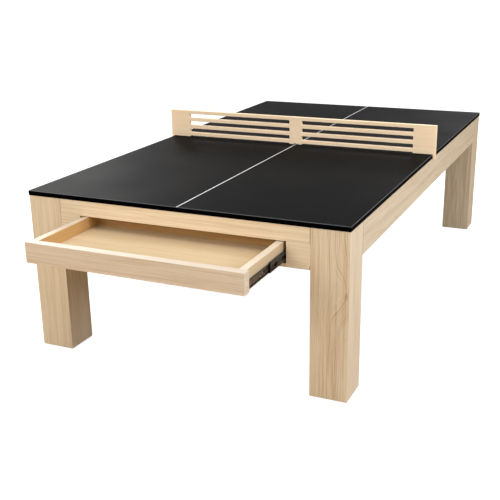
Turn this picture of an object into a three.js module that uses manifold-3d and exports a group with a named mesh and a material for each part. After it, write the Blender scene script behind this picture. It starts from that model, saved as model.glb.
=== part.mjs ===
// Ping pong table with a slotted wooden net and an equipment drawer.
// Units are millimetres, +Z is up, +X is to the right seen from the drawer end, and the
// drawer end faces -Y. The drawer is drawn open, as the table is stored in the library.

import * as THREE from 'three';
import { mergeVertices } from 'three/addons/utils/BufferGeometryUtils.js';
import Module from 'manifold-3d';

const wasm = await Module();
wasm.setup();

// ---------------------------------------------------------------- driving dimensions

const CLEAR = 0.3;                 // working gap between neighbouring pieces
const SEAM = 0.8;                  // shadow gap where an apron meets a leg

// Playing top: the regulation size and height
const TOP = { width: 1525, length: 2740, thick: 22, ease: 1.5 };
const TABLE_HEIGHT = 760;

// Wooden frame
const FRAME = { width: 1520, length: 2736, ease: 1.2 };
const LEG = 165;                   // side of the square leg
const PAD = { side: 120, thick: 2 };
const BOARD = 40;                  // thickness of aprons and cross rails
const END_APRON_DEPTH = 178;
const SIDE_APRON_DEPTH = 145;
const CROSS_RAIL = { depth: 90, positions: [-820, -273.3, 273.3, 820] };

// Drawer opening in the front apron
const OPENING = { width: 984, height: 95, sill: 14 };
const BEARER = 28;                 // thickness of the boards that carry the runners

// Drawer
const DRAWER = { gap: 3, frontThick: 40, frontHeight: 88, box: 450, side: 30, back: 20 };
const DRAWER_LIFT = 2;             // the box bottom edge sits above the front's bottom edge
const DRAWER_DEPTH = 54;           // from the floor panel to the rim
const FLOOR_PANEL = { thick: 10, groove: 8 };
const DRAWER_OPEN = 390;           // how far it stands open in the stored pose

// Ball-bearing runner: section depths run from the bearer (0) towards the drawer
const RUNNER = { length: 450, depth: 12.4, above: 10 };
const CAGE = { length: 200, balls: 5, sheet: 0.6 };
const OUTER = { web: 1.4, reach: 9.0, half: 26.1, lip: 1.5 };
const MIDDLE = { start: 3.2, web: 1.2, reach: 10.4, half: 21.3, flange: 1.4, lip: 1.4 };
const INNER = { start: 6.2, web: 1.2, half: 17.0 };
const OUTER_BALL = { radius: 1.5, depth: 5.0, height: 23.05 };
const INNER_BALL = { radius: 1.3, depth: 7.2, height: 18.45 };

// Net panel
const NET = { height: 152.5, thick: 18, hook: 14, hookGap: 1.5, ease: 1 };
const NET_BLOCK = 120;             // width of the solid block at each end
const NET_POST = 70;               // width of the solid post in the middle
const NET_SLOT = { height: 22.5, rail: 19.5, corner: 4 };
const NET_FELT = 1;                // felt under each foot
const NET_NOTCH = { width: 26, height: 4 };

// Corner joints
const BRACKET = { flange: 50, thick: 3, height: 90 };
const BOLT = { shank: 4, hole: 4.5, head: 6.5, headHeight: 5, washer: 9, length: 55 };

// ---------------------------------------------------------------- derived levels

const frameX = FRAME.width / 2;
const frameY = FRAME.length / 2;
const topBottom = TABLE_HEIGHT - TOP.thick;
const frameTop = topBottom - CLEAR;
const endApronBottom = topBottom - END_APRON_DEPTH;
const openingBottom = endApronBottom + OPENING.sill;
const openingTop = openingBottom + OPENING.height;
const frontBottom = openingBottom + (OPENING.height - DRAWER.frontHeight) / 2;
const drawerTop = frontBottom + DRAWER.frontHeight;
const sideBottom = frontBottom + DRAWER_LIFT;
const boxOuterX = OPENING.width / 2 - RUNNER.depth - 2 * CLEAR;
const boxInnerX = boxOuterX - DRAWER.side;
const floorTop = drawerTop - DRAWER_DEPTH;
const boxFrontY = -frameY + DRAWER.frontThick;
const boxBackY = boxFrontY + DRAWER.box;
const runnerZ = sideBottom + RUNNER.above + INNER.half;

// The stored pose, joint by joint: each runner piece lags behind the drawer
const DRAWER_AT = -DRAWER_OPEN;
const MIDDLE_AT = -DRAWER_OPEN / 2;
const OUTER_CAGE_AT = -DRAWER_OPEN / 4;
const INNER_CAGE_AT = -DRAWER_OPEN * 3 / 4;

// ---------------------------------------------------------------- materials

const finishes = {
  ash: { color: 0xdfc8a6, roughness: 0.55, metalness: 0 },
  plywood: { color: 0xe8cfa5, roughness: 0.6, metalness: 0 },
  blackTop: { color: 0x1c1d1f, roughness: 0.38, metalness: 0 },
  steel: { color: 0x6d7074, roughness: 0.3, metalness: 1 },
  darkSteel: { color: 0x3a3d42, roughness: 0.35, metalness: 1 },
  felt: { color: 0x3b3a38, roughness: 0.95, metalness: 0 },
};

// ---------------------------------------------------------------- geometry helpers

const table = new THREE.Group();

function place(name, geometry, finish, position = [0, 0, 0]) {
  const mesh = new THREE.Mesh(geometry, new THREE.MeshStandardMaterial(finishes[finish]));
  mesh.name = name;
  mesh.position.set(...position);
  table.add(mesh);
  return mesh;
}

// A board between two corners, with all its edges eased
function board(low, high, ease) {
  const size = high.map((value, axis) => value - low[axis]);
  const [w, d, h] = size;
  const outline = new THREE.Shape();
  outline.moveTo(ease, 0);
  outline.lineTo(w - ease, 0);
  outline.lineTo(w, ease);
  outline.lineTo(w, d - ease);
  outline.lineTo(w - ease, d);
  outline.lineTo(ease, d);
  outline.lineTo(0, d - ease);
  outline.lineTo(0, ease);
  outline.closePath();
  const geometry = new THREE.ExtrudeGeometry(outline, {
    depth: h - 2 * ease,
    bevelEnabled: true,
    bevelThickness: ease,
    bevelSize: ease,
    bevelOffset: -ease,
    bevelSegments: 1,
  });
  return geometry.translate(low[0], low[1], low[2] + ease);
}

function box(low, high) {
  const size = high.map((value, axis) => value - low[axis]);
  const middle = high.map((value, axis) => (value + low[axis]) / 2);
  return new THREE.BoxGeometry(...size).translate(...middle);
}

// A closed outline of [x, z] corners, pulled along Y from `front` to `back`
function section(corners, front, back) {
  const outline = new THREE.Shape(corners.map(([x, z]) => new THREE.Vector2(x, z)));
  const geometry = new THREE.ExtrudeGeometry(outline, { depth: back - front, bevelEnabled: false });
  return geometry.rotateX(Math.PI / 2).translate(0, back, 0);
}

function toSolid(geometry) {
  const bare = geometry.index ? geometry.toNonIndexed() : geometry.clone();
  bare.deleteAttribute('normal');
  bare.deleteAttribute('uv');
  const merged = mergeVertices(bare, 1e-4);
  return new wasm.Manifold(new wasm.Mesh({
    numProp: 3,
    vertProperties: new Float32Array(merged.attributes.position.array),
    triVerts: new Uint32Array(merged.index.array),
  }));
}

function fromSolid(solid) {
  const mesh = solid.getMesh();
  const geometry = new THREE.BufferGeometry();
  geometry.setAttribute('position', new THREE.BufferAttribute(mesh.vertProperties, 3));
  geometry.setIndex(new THREE.BufferAttribute(mesh.triVerts, 1));
  geometry.computeVertexNormals();
  return geometry;
}

function cut(geometry, ...tools) {
  let solid = toSolid(geometry);
  for (const tool of tools) {
    solid = solid.subtract(toSolid(tool));
  }
  return fromSolid(solid);
}

function join(...pieces) {
  let solid = toSolid(pieces[0]);
  for (const piece of pieces.slice(1)) {
    solid = solid.add(toSolid(piece));
  }
  return fromSolid(solid);
}

// Calls make(sideName, sign) for the left (-X) and right (+X) side
function bothSides(make) {
  make('left', -1);
  make('right', 1);
}

function spanX(sign, near, far) {
  return sign < 0 ? [-far, -near] : [near, far];
}

// ---------------------------------------------------------------- top

function makeTop() {
  const x = TOP.width / 2;
  const y = TOP.length / 2;
  place('tabletop', board([-x, -y, topBottom], [x, y, TABLE_HEIGHT], TOP.ease), 'blackTop');
}

// ---------------------------------------------------------------- legs and corner joints

const boltZ = topBottom - BRACKET.height / 2 - 15;

// A joint is the inside corner between one leg face and one apron. `along` is the unit step
// from the leg face along the apron, `into` the unit step from the apron along the leg face.
function cornerJoints(signX, signY) {
  return {
    end: {
      corner: [signX * (frameX - LEG), signY * (frameY - BOARD)],
      along: [-signX, 0],
      into: [0, -signY],
    },
    side: {
      corner: [signX * (frameX - BOARD), signY * (frameY - LEG)],
      along: [0, -signY],
      into: [-signX, 0],
    },
  };
}

function jointPoint(joint, a, b) {
  return joint.corner.map((value, axis) => value + a * joint.along[axis] + b * joint.into[axis]);
}

// A cylinder that lies along the joint's `along` direction, from depth `from` to `to`
function jointCylinder(joint, radius, from, to, segments) {
  const [x, y] = jointPoint(joint, (from + to) / 2, CLEAR + BRACKET.flange / 2);
  const geometry = new THREE.CylinderGeometry(radius, radius, to - from, segments);
  if (joint.along[0] !== 0) {
    geometry.rotateZ(Math.PI / 2);
  }
  return geometry.translate(x, y, boltZ);
}

function makeLeg(name, signX, signY) {
  const [x0, x1] = spanX(signX, frameX - LEG, frameX);
  const [y0, y1] = spanX(signY, frameY - LEG, frameY);
  const blank = board([x0, y0, PAD.thick + CLEAR], [x1, y1, frameTop], FRAME.ease);
  const holes = Object.values(cornerJoints(signX, signY)).map(
    (joint) => jointCylinder(joint, BOLT.hole, -BOLT.length - 5, 5, 12));
  place(`leg_${name}`, cut(blank, ...holes), 'ash');

  const centre = [signX * (frameX - LEG / 2), signY * (frameY - LEG / 2)];
  const half = PAD.side / 2;
  const low = [centre[0] - half, centre[1] - half, 0];
  const high = [centre[0] + half, centre[1] + half, PAD.thick];
  place(`floor_pad_${name}`, box(low, high), 'felt');
}

function makeBracket(name, joint) {
  const { flange, thick, height } = BRACKET;
  const inset = CLEAR;
  const profile = [
    [inset, inset], [flange, inset], [flange, inset + thick],
    [inset + thick, inset + thick], [inset + thick, flange], [inset, flange],
  ];
  const outline = new THREE.Shape(
    profile.map(([a, b]) => new THREE.Vector2(...jointPoint(joint, a, b))));
  const blank = new THREE.ExtrudeGeometry(outline, { depth: height, bevelEnabled: false });
  blank.translate(0, 0, boltZ - height / 2);
  const hole = jointCylinder(joint, BOLT.hole, -1, thick + 2, 12);
  place(`bracket_${name}`, cut(blank, hole), 'darkSteel');
}

function makeLegBolt(name, joint) {
  const seat = BRACKET.thick + 2 * CLEAR;
  const points = [
    [0, -BOLT.length], [BOLT.shank, -BOLT.length], [BOLT.shank, seat],
    [BOLT.washer, seat], [BOLT.washer, seat + 1.6], [BOLT.head, seat + 1.6],
    [BOLT.head, seat + BOLT.headHeight], [0, seat + BOLT.headHeight],
  ].map(([r, a]) => new THREE.Vector2(r, a));
  const geometry = new THREE.LatheGeometry(points, 12);
  const direction = new THREE.Vector3(joint.along[0], joint.along[1], 0);
  const turn = new THREE.Quaternion().setFromUnitVectors(new THREE.Vector3(0, 1, 0), direction);
  geometry.applyQuaternion(turn);
  const [x, y] = jointPoint(joint, 0, CLEAR + BRACKET.flange / 2);
  place(`leg_bolt_${name}`, geometry, 'steel', [x, y, boltZ]);
}

function makeCorners() {
  for (const [endName, signY] of [['front', -1], ['rear', 1]]) {
    bothSides((sideName, signX) => {
      const name = `${endName}_${sideName}`;
      makeLeg(name, signX, signY);
      for (const [apron, joint] of Object.entries(cornerJoints(signX, signY))) {
        makeBracket(`${name}_${apron}`, joint);
        makeLegBolt(`${name}_${apron}`, joint);
      }
    });
  }
}

// ---------------------------------------------------------------- aprons and rails

function makeFrontApron() {
  const x = frameX - LEG - SEAM;
  const half = OPENING.width / 2;
  const y0 = -frameY;
  const y1 = -frameY + BOARD;
  const { ease } = FRAME;
  place('front_top_rail', board([-x, y0, openingTop], [x, y1, frameTop], ease), 'ash');
  place('front_bottom_rail', board([-x, y0, endApronBottom], [x, y1, openingBottom], ease), 'ash');
  bothSides((name, sign) => {
    const [x0, x1] = spanX(sign, half, x);
    const low = [x0, y0, openingBottom + CLEAR];
    const high = [x1, y1, openingTop - CLEAR];
    place(`front_stile_${name}`, board(low, high, ease), 'ash');
  });
}

function makeRearApron() {
  const x = frameX - LEG - SEAM;
  const low = [-x, frameY - BOARD, endApronBottom];
  place('rear_apron', board(low, [x, frameY, frameTop], FRAME.ease), 'ash');
}

function makeSideAprons() {
  const y = frameY - LEG - SEAM;
  bothSides((name, sign) => {
    const [x0, x1] = spanX(sign, frameX - BOARD, frameX);
    const low = [x0, -y, topBottom - SIDE_APRON_DEPTH];
    place(`side_apron_${name}`, board(low, [x1, y, frameTop], FRAME.ease), 'ash');
  });
}

function makeCrossRails() {
  const x = frameX - BOARD - CLEAR;
  CROSS_RAIL.positions.forEach((y, index) => {
    const low = [-x, y - BOARD / 2, topBottom - CROSS_RAIL.depth];
    const high = [x, y + BOARD / 2, frameTop];
    place(`cross_rail_${index + 1}`, board(low, high, FRAME.ease), 'plywood');
  });
}

// Boards behind the stiles that the runners are screwed to
function makeBearers() {
  const y0 = boxFrontY + CLEAR;
  const y1 = CROSS_RAIL.positions[0] - BOARD / 2 - CLEAR;
  bothSides((name, sign) => {
    const [x0, x1] = spanX(sign, OPENING.width / 2, OPENING.width / 2 + BEARER);
    const low = [x0, y0, openingBottom];
    const high = [x1, y1, openingTop];
    place(`runner_bearer_${name}`, board(low, high, FRAME.ease), 'plywood');
  });
}

// ---------------------------------------------------------------- drawer

function floorPanel(margin) {
  const reach = FLOOR_PANEL.groove - CLEAR + margin;
  const low = [-boxInnerX - reach, boxFrontY - reach, floorTop - FLOOR_PANEL.thick - margin];
  const high = [boxInnerX + reach, boxBackY - DRAWER.back + reach, floorTop + margin];
  return box(low, high);
}

// The groove that holds the floor panel is a little larger than the panel
function grooved(geometry) {
  return cut(geometry, floorPanel(CLEAR));
}

function makeDrawer() {
  const at = [0, DRAWER_AT, 0];
  const ease = 0.8;
  const frontX = OPENING.width / 2 - DRAWER.gap;
  const front = board([-frontX, -frameY, frontBottom], [frontX, boxFrontY, drawerTop], ease);
  place('drawer_front', grooved(front), 'ash', at);

  bothSides((name, sign) => {
    const [x0, x1] = spanX(sign, boxInnerX, boxOuterX);
    const side = board([x0, boxFrontY + CLEAR, sideBottom], [x1, boxBackY, drawerTop], ease);
    place(`drawer_side_${name}`, grooved(side), 'plywood', at);
  });

  const backX = boxInnerX - CLEAR;
  const backLow = [-backX, boxBackY - DRAWER.back, sideBottom];
  const back = board(backLow, [backX, boxBackY, drawerTop], ease);
  place('drawer_back', grooved(back), 'plywood', at);
  place('drawer_floor', floorPanel(0), 'plywood', at);
}

// ---------------------------------------------------------------- runners

// Mirrors an upper half outline of [depth, height] points to the whole channel and places it
// on one side of the table. The depth is measured from the bearer towards the drawer.
function channel(sign, upper, front, length) {
  const lower = upper.map(([depth, height]) => [depth, -height]).reverse();
  const corners = [...upper, ...lower].map(([depth, height]) => [
    sign * (OPENING.width / 2 - CLEAR - depth),
    runnerZ + height,
  ]);
  return section(corners, front, front + length);
}

// A channel open towards the drawer, with a lip that keeps the balls in
function lippedChannel({ start = 0, web, reach, half, flange = web, lip }) {
  return [
    [start, half], [reach, half], [reach, half - flange - lip],
    [reach - 1, half - flange - lip], [reach - 1, half - flange], [start + web, half - flange],
  ];
}

// Ball cage: a thin folded strip with a row of balls along each edge
function ballCage(sign, ball, webDepth, front) {
  const edge = ball.height + CAGE.sheet / 2;
  const strip = channel(sign, [
    [webDepth, edge], [ball.depth + 1.4, edge], [ball.depth + 1.4, edge - CAGE.sheet],
    [webDepth + CAGE.sheet, edge - CAGE.sheet],
  ], front, CAGE.length);
  const balls = [];
  const pitch = CAGE.length / CAGE.balls;
  for (let index = 0; index < CAGE.balls; index += 1) {
    for (const up of [-1, 1]) {
      const sphere = new THREE.SphereGeometry(ball.radius, 8, 6);
      const x = sign * (OPENING.width / 2 - CLEAR - ball.depth);
      balls.push(sphere.translate(x, front + (index + 0.5) * pitch, runnerZ + up * ball.height));
    }
  }
  return join(strip, ...balls);
}

function makeRunners() {
  const front = boxFrontY + 3;
  const cageFront = front + (RUNNER.length - CAGE.length) / 2;
  bothSides((name, sign) => {
    const outer = channel(sign, lippedChannel(OUTER), front, RUNNER.length);
    place(`runner_outer_${name}`, outer, 'steel');

    const outerCage = ballCage(sign, OUTER_BALL, 2.0, cageFront);
    place(`ball_cage_outer_${name}`, outerCage, 'steel', [0, OUTER_CAGE_AT, 0]);

    const middle = channel(sign, lippedChannel(MIDDLE), front, RUNNER.length);
    place(`runner_middle_${name}`, middle, 'steel', [0, MIDDLE_AT, 0]);

    const innerCage = ballCage(sign, INNER_BALL, 5.0, cageFront);
    place(`ball_cage_inner_${name}`, innerCage, 'steel', [0, INNER_CAGE_AT, 0]);

    const { start, web, half } = INNER;
    const inner = channel(sign, [
      [RUNNER.depth - web, half - web], [start, half - web],
      [start, half], [RUNNER.depth, half],
    ], front, RUNNER.length);
    place(`runner_inner_${name}`, inner, 'steel', [0, DRAWER_AT, 0]);
  });
}

// ---------------------------------------------------------------- net

function roundedSlot(x0, x1, z0, z1) {
  const r = NET_SLOT.corner;
  const slot = new THREE.Path();
  slot.moveTo(x0 + r, z0);
  slot.lineTo(x1 - r, z0);
  slot.absarc(x1 - r, z0 + r, r, -Math.PI / 2, 0);
  slot.lineTo(x1, z1 - r);
  slot.absarc(x1 - r, z1 - r, r, 0, Math.PI / 2);
  slot.lineTo(x0 + r, z1);
  slot.absarc(x0 + r, z1 - r, r, Math.PI / 2, Math.PI);
  slot.lineTo(x0, z0 + r);
  slot.absarc(x0 + r, z0 + r, r, Math.PI, Math.PI * 3 / 2);
  return slot;
}

function makeNet() {
  const top = TABLE_HEIGHT + NET.height;
  const foot = TABLE_HEIGHT + NET_FELT + 2 * CLEAR;
  const hookX = TOP.width / 2 + NET.hookGap;
  const endX = hookX + NET.hook;
  const blockX = endX - NET_BLOCK;
  const postX = NET_POST / 2;
  const notchX = NET_NOTCH.width / 2;
  const railBottom = top - 4 * NET_SLOT.rail - 3 * NET_SLOT.height;

  const rightHalf = [
    [notchX, foot + NET_NOTCH.height], [notchX, foot], [postX, foot], [postX, railBottom],
    [blockX, railBottom], [blockX, foot], [hookX, foot], [hookX, topBottom], [endX, topBottom],
    [endX, top],
  ];
  const leftHalf = rightHalf.map(([x, z]) => [-x, z]).reverse();
  const outline = new THREE.Shape(
    [...rightHalf, ...leftHalf].map(([x, z]) => new THREE.Vector2(x, z)));
  for (let row = 0; row < 3; row += 1) {
    const z1 = top - NET_SLOT.rail - row * (NET_SLOT.rail + NET_SLOT.height);
    const z0 = z1 - NET_SLOT.height;
    outline.holes.push(roundedSlot(postX, blockX, z0, z1));
    outline.holes.push(roundedSlot(-blockX, -postX, z0, z1));
  }
  const panel = new THREE.ExtrudeGeometry(outline, {
    depth: NET.thick - 2 * NET.ease,
    bevelEnabled: true,
    bevelThickness: NET.ease,
    bevelSize: NET.ease,
    bevelOffset: -NET.ease,
    bevelSegments: 1,
    curveSegments: 3,
  });
  panel.rotateX(Math.PI / 2).translate(0, NET.thick / 2 - NET.ease, 0);
  place('net_panel', panel, 'ash');

  const half = NET.thick / 2 - 1;
  const felts = {
    left: [-hookX + 2, -blockX - 1],
    centre: [notchX + 1, postX - 1],
    right: [blockX + 1, hookX - 2],
  };
  for (const [name, [x0, x1]] of Object.entries(felts)) {
    const low = [x0, -half, TABLE_HEIGHT + CLEAR];
    const high = [x1, half, TABLE_HEIGHT + CLEAR + NET_FELT];
    place(`net_felt_${name}`, box(low, high), 'felt');
  }
}

// ---------------------------------------------------------------- assembly

makeTop();
makeCorners();
makeFrontApron();
makeRearApron();
makeSideAprons();
makeCrossRails();
makeBearers();
makeDrawer();
makeRunners();
makeNet();

// The origin is on the floor, in the middle of the space that the table takes up with the
// drawer open
table.position.y = (frameY + DRAWER_OPEN - TOP.length / 2) / 2;

export default table;
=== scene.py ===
"""Looks of the ping pong table: camera, studio, materials and fine pieces around the CAD frame."""

import math
import random

import bmesh
import bpy
from mathutils import Matrix, Vector


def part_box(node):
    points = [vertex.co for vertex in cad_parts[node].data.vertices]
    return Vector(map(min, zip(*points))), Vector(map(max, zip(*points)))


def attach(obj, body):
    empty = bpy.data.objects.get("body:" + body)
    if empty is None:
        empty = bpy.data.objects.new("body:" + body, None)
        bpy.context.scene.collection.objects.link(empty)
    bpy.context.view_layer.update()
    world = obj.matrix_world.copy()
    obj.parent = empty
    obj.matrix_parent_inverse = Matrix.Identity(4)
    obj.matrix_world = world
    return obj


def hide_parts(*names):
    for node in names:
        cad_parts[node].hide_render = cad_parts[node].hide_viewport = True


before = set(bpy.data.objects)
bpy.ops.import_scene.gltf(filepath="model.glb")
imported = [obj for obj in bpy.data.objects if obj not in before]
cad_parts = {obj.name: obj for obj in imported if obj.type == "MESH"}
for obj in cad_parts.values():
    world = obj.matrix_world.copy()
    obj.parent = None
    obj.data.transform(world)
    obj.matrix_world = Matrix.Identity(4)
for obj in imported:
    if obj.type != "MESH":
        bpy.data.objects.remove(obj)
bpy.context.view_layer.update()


# ------------------------------------------------------------------ places read from the frame

MM = 0.001
TOP_LOW, TOP_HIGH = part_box("tabletop")
MID_Y = (TOP_LOW.y + TOP_HIGH.y) / 2
SURFACE = TOP_HIGH.z
SIDES = {"left": -1, "right": 1}
ENDS = {"front": -1, "rear": 1}


def centre(node):
    low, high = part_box(node)
    return (low + high) / 2


def srgb(r, g, b):
    """A colour given as it looks on screen, 0 to 255, as the linear colour that shaders use."""
    def linear(value):
        value /= 255
        return value / 12.92 if value <= 0.04045 else ((value + 0.055) / 1.055) ** 2.4
    return (linear(r), linear(g), linear(b), 1.0)


# ------------------------------------------------------------------ node building

class Nodes:
    """Writes a node tree as short calls. Inputs are numbers, tuples or sockets."""

    def __init__(self, tree):
        self.tree = tree

    def feed(self, socket, value):
        if isinstance(value, bpy.types.NodeSocket):
            self.tree.links.new(value, socket)
        else:
            socket.default_value = value

    def node(self, kind, inputs=(), **settings):
        node = self.tree.nodes.new(kind)
        for name, value in settings.items():
            setattr(node, name, value)
        pairs = inputs.items() if isinstance(inputs, dict) else enumerate(inputs)
        for key, value in pairs:
            self.feed(node.inputs[key], value)
        return node

    def math(self, operation, *values):
        return self.node("ShaderNodeMath", values, operation=operation).outputs[0]

    def vector(self, operation, a, b):
        return self.node("ShaderNodeVectorMath", (a, b), operation=operation).outputs[0]

    def split(self, vector):
        return self.node("ShaderNodeSeparateXYZ", (vector,)).outputs

    def join(self, x, y, z):
        return self.node("ShaderNodeCombineXYZ", (x, y, z)).outputs[0]

    def noise(self, vector, scale=1.0, detail=2.0, roughness=0.5):
        inputs = {"Vector": vector, "Scale": scale, "Detail": detail, "Roughness": roughness}
        return self.node("ShaderNodeTexNoise", inputs).outputs[0]

    def random(self, value):
        return self.node("ShaderNodeTexWhiteNoise", {"W": value}, noise_dimensions="1D").outputs[0]

    def remap(self, value, low, high, to_low=0.0, to_high=1.0, smooth=True):
        kind = "SMOOTHSTEP" if smooth else "LINEAR"
        inputs = {"Value": value, "From Min": low, "From Max": high,
                  "To Min": to_low, "To Max": to_high}
        return self.node("ShaderNodeMapRange", inputs, interpolation_type=kind).outputs[0]

    def mix(self, factor, a, b, blend="MIX"):
        node = self.node("ShaderNodeMix", data_type="RGBA", blend_type=blend)
        for socket, value in ((0, factor), (6, a), (7, b)):
            self.feed(node.inputs[socket], value)
        return node.outputs[2]

    def bump(self, height, strength, distance):
        inputs = {"Height": height, "Strength": strength, "Distance": distance}
        return self.node("ShaderNodeBump", inputs).outputs[0]


class Paint(Nodes):
    """A material with its Principled shader."""

    def __init__(self, name):
        self.material = bpy.data.materials.new(name)
        self.material.use_nodes = True
        super().__init__(self.material.node_tree)
        self.surface = self.tree.nodes["Principled BSDF"]
        self.place = self.node("ShaderNodeTexCoord").outputs["Object"]

    def set(self, **values):
        for name, value in values.items():
            self.feed(self.surface.inputs[name.replace("_", " ")], value)


# ------------------------------------------------------------------ camera and studio

CAMERA_PLACE = (1.702, -4.365, 1.730)      # from the middle of the table, at floor level
CAMERA_YAW, CAMERA_PITCH, CAMERA_ROLL = 24.53, 18.73, -0.88
CAMERA_LENS = 61.5
WARM_WHITE = (1.0, 0.985, 0.965, 1.0)
COOL_WHITE = (0.89, 1.02, 1.26)
FLOOR_SEEN = srgb(200, 200, 200)
FLOOR_BOUNCE = srgb(176, 153, 124)         # what the wood shows of the floor
FLOOR_GLOW = 0.80


def make_camera():
    data = bpy.data.cameras.new("camera")
    data.lens = CAMERA_LENS
    data.sensor_width = 36
    data.clip_end = 100
    camera = bpy.data.objects.new("camera", data)
    bpy.context.scene.collection.objects.link(camera)
    place = Matrix.Translation(Vector(CAMERA_PLACE) + Vector((0, MID_Y, 0)))
    yaw = Matrix.Rotation(math.radians(CAMERA_YAW), 4, "Z")
    pitch = Matrix.Rotation(math.radians(90 - CAMERA_PITCH), 4, "X")
    roll = Matrix.Rotation(math.radians(CAMERA_ROLL), 4, "Z")
    camera.matrix_world = place @ yaw @ pitch @ roll
    bpy.context.scene.camera = camera


def area_light(name, place, target, size, power, colour=(1, 1, 1)):
    """A rectangular lamp. Its place and target are taken from the middle of the table."""
    data = bpy.data.lights.new(name, "AREA")
    data.shape = "RECTANGLE"
    data.size, data.size_y = size
    data.energy = power
    data.color = colour
    light = bpy.data.objects.new(name, data)
    bpy.context.scene.collection.objects.link(light)
    light.location = Vector(place) + Vector((0, MID_Y, 0))
    aim = Vector(target) + Vector((0, MID_Y, 0)) - light.location
    light.rotation_euler = aim.to_track_quat("-Z", "Y").to_euler()
    light.visible_camera = False


def make_world():
    """White to the eye. As a light it is even, and stronger low behind the table: most of all to
    the left and a little to the right, which puts a soft sheen across the dark top."""
    world = bpy.data.worlds.new("studio")
    bpy.context.scene.world = world
    world.use_nodes = True
    world.node_tree.nodes.clear()
    n = Nodes(world.node_tree)
    direction = n.split(n.node("ShaderNodeTexCoord").outputs["Generated"])
    # Each range of the direction runs from none of the glow to all of it
    back = n.math("MULTIPLY", n.remap(direction["Y"], 0.25, 0.60),
                  n.remap(direction["Z"], 0.45, 0.32))
    left = n.math("MULTIPLY", n.remap(direction["X"], -0.455, -0.66),
                  n.remap(direction["X"], -0.84, -0.72))
    right = n.math("MULTIPLY", n.remap(direction["X"], -0.28, -0.12),
                   n.remap(direction["X"], 0.30, 0.10))
    glow = n.math("MULTIPLY_ADD", left, 9.0, 0.50)
    glow = n.math("MULTIPLY_ADD", right, 1.8, glow)
    glow = n.math("MULTIPLY", glow, n.remap(direction["Z"], 0.15, 0.27, 0.0, 2.4))
    level = n.math("MULTIPLY_ADD", glow, back, 0.35)
    light = n.node("ShaderNodeBackground", {"Color": WARM_WHITE, "Strength": level}).outputs[0]
    seen = n.node("ShaderNodeBackground", {"Color": (1, 1, 1, 1)}).outputs[0]
    camera_ray = n.node("ShaderNodeLightPath").outputs["Is Camera Ray"]
    mixed = n.node("ShaderNodeMixShader", (camera_ray, light, seen)).outputs[0]
    n.node("ShaderNodeOutputWorld", (mixed,))


def make_floor():
    """A pale floor. To the eye it glows, so that only soft shadows show on it."""
    bm = bmesh.new()
    bmesh.ops.create_grid(bm, x_segments=1, y_segments=1, size=60)
    mesh = bpy.data.meshes.new("studio_floor")
    bm.to_mesh(mesh)
    bm.free()
    floor = bpy.data.objects.new("studio_floor", mesh)
    floor.location = (0, MID_Y, 0)
    bpy.context.scene.collection.objects.link(floor)
    s = Paint("studio_floor")
    camera_ray = s.node("ShaderNodeLightPath").outputs["Is Camera Ray"]
    s.set(Base_Color=s.mix(camera_ray, FLOOR_BOUNCE, FLOOR_SEEN))
    s.set(Roughness=0.9, Specular_IOR_Level=0.0)
    s.set(Emission_Color=(1, 1, 1, 1))
    s.set(Emission_Strength=s.math("MULTIPLY", camera_ray, FLOOR_GLOW))
    mesh.materials.append(s.material)


def make_studio():
    bpy.context.scene.view_settings.view_transform = "Standard"
    make_world()
    make_floor()
    area_light("front", (-1.4, -5.6, 3.0), (0, -1.0, 0.4), (3.5, 2.5), 111)
    area_light("right", (4.8, -1.4, 2.6), (0.4, 0, 0.4), (4.0, 2.2), 143, COOL_WHITE)
    area_light("overhead", (0.2, -0.6, 4.2), (0, -0.2, 0.7), (3.5, 5.0), 116)


# ------------------------------------------------------------------ wood

ASH_LIGHT = srgb(238, 218, 186)
ASH_DARK = srgb(190, 153, 106)
FRONT_LIGHT = srgb(238, 217, 190)
FRONT_DARK = srgb(194, 162, 122)
NET_LIGHT = srgb(250, 222, 185)
NET_DARK = srgb(214, 178, 130)
BIRCH_LIGHT = srgb(216, 191, 152)
BIRCH_DARK = srgb(190, 155, 108)
# A darker, warmer copy of the birch: painted shade, for the inside of the drawer in warm reflected
# light.
SHADED_BIRCH_LIGHT = srgb(205, 160, 100)
SHADED_BIRCH_DARK = srgb(175, 127, 68)
# Painted highlights for the top faces of the drawer: the front's is set lower than the box's, as
# more light already falls on it.
FRONT_TOP_HIGHLIGHT = srgb(196, 181, 161)
BOX_TOP_HIGHLIGHT = srgb(214, 198, 176)
# The dark brown of a knot's heart, also used for the painted shade at the ends of boards.
KNOT_AND_SEAM_SHADE = srgb(140, 100, 60)
KNOT_STRETCH = 2.2                         # how much longer a knot's swirl is than it is wide
KNOT_SWELL = 0.45                          # how far the rings move aside, as a part of its size
ACROSS_DEEP_ALONG = {"X": "ZYX", "Y": "ZXY", "Z": "XYZ"}


def edge_distance(s, local, half):
    """Distance in metres to the nearest edge of a box: the middle one of the distances to its
    three pairs of faces, which is small only near an edge."""
    reach = [s.math("SUBTRACT", half[axis], s.math("ABSOLUTE", value))
             for axis, value in enumerate(s.split(local)[0:3])]
    low = s.math("MINIMUM", reach[0], reach[1])
    high = s.math("MAXIMUM", reach[0], reach[1])
    return s.math("MAXIMUM", low, s.math("MINIMUM", high, reach[2]))


def flow_round_knots(s, depth, across, along, knots):
    """Swells the growth rings round each knot. Gives the new depth in the log, and how much of a
    knot's dark heart shows."""
    heart_shows = 0.0
    for knot_across, knot_along, size, heart in knots:
        a = s.math("DIVIDE", s.math("SUBTRACT", across, knot_across), size)
        b = s.math("DIVIDE", s.math("SUBTRACT", along, knot_along), size * KNOT_STRETCH)
        far = s.math("ADD", s.math("MULTIPLY", a, a), s.math("MULTIPLY", b, b))
        swell = s.math("EXPONENT", s.math("MULTIPLY", far, -1.0))
        depth = s.math("MULTIPLY_ADD", swell, size * KNOT_SWELL, depth)
        heart_shows = s.math("MAXIMUM", heart_shows, s.remap(far, 0.030, 0.0, 0.0, heart))
    return depth, heart_shows


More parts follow.
